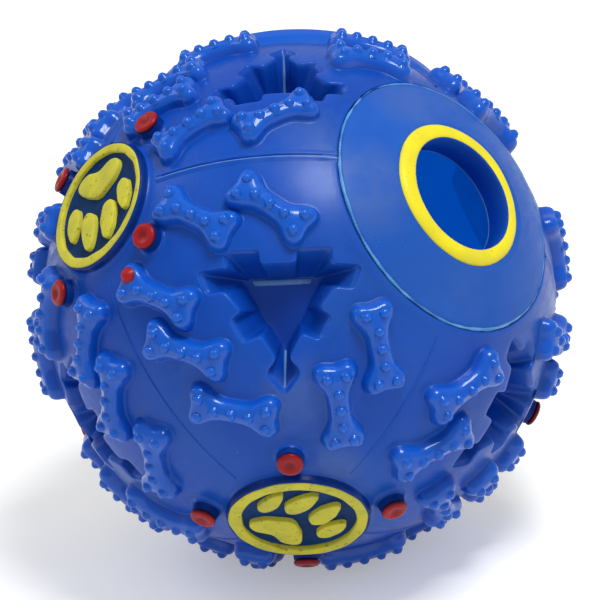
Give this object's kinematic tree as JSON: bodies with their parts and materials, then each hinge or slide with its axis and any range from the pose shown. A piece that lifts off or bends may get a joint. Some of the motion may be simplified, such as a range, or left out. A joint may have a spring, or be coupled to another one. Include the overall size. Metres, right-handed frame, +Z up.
{
  "type": "squeaky treat ball",
  "caption": "Hollow blue vinyl dog ball with raised studded bones, deep recesses, yellow paw roundels, red nubs, a yellow-rimmed treat port and a tumble sounder inside.",
  "frame": {"origin": "on the floor, under the middle of the bounding box", "axes": "+Z up, with the ball lying on the bones of one eighth; the treat port faces -Y and up; the sounder's cap faces +X, +Y and up"},
  "size_m": [0.1182, 0.118, 0.1162],
  "materials": {
    "blue_vinyl": "satin, slightly translucent soft vinyl",
    "yellow_vinyl": "satin painted vinyl",
    "navy_vinyl": "satin vinyl",
    "red_vinyl": "satin painted vinyl",
    "ivory_plastic": "moulded plastic",
    "deep_blue_plastic": "moulded plastic",
    "grey_felt": "pressed felt",
    "steel": "turned steel",
    "reed_brass": "thin rolled strip"
  },
  "bodies": {
    "ball": {"base_bumper": "grey_felt", "lower_shell": "blue_vinyl", "nub_cap_back_1": "red_vinyl", "nub_cap_back_2": "red_vinyl", "nub_cap_back_3": "red_vinyl", "nub_cap_back_4": "red_vinyl", "nub_cap_bottom_1": "red_vinyl", "nub_cap_bottom_2": "red_vinyl", "nub_cap_bottom_3": "red_vinyl", "nub_cap_bottom_4": "red_vinyl", "nub_cap_left_1": "red_vinyl", "nub_cap_left_2": "red_vinyl", "nub_cap_left_3": "red_vinyl", "nub_cap_left_4": "red_vinyl", "nub_cap_right_1": "red_vinyl", "nub_cap_right_2": "red_vinyl", "nub_cap_right_3": "red_vinyl", "nub_cap_right_4": "red_vinyl", "paw_badge_back": "yellow_vinyl", "paw_badge_bottom": "yellow_vinyl", "paw_badge_left": "yellow_vinyl", "paw_badge_right": "yellow_vinyl", "paw_ground_back": "navy_vinyl", "paw_ground_bottom": "navy_vinyl", "paw_ground_left": "navy_vinyl", "paw_ground_right": "navy_vinyl", "port_plate": "blue_vinyl", "port_rim": "yellow_vinyl", "sounder_base_plug": "ivory_plastic", "sounder_cap": "blue_vinyl", "sounder_tube": "ivory_plastic", "sounder_vent_plug": "ivory_plastic", "upper_shell": "blue_vinyl", "vent_bumper": "grey_felt"},
    "plug": {"plug_body": "deep_blue_plastic", "plug_weight": "steel", "reed_holder": "deep_blue_plastic", "reed_tongue": "reed_brass", "reed_clip": "deep_blue_plastic"}
  },
  "joints": [
    {"name": "plug_slide", "type": "slide", "parent": "ball", "child": "plug", "axis": [0.7071, 0.4082, 0.5774], "range_m": [0, 0.0135]}
  ]
}
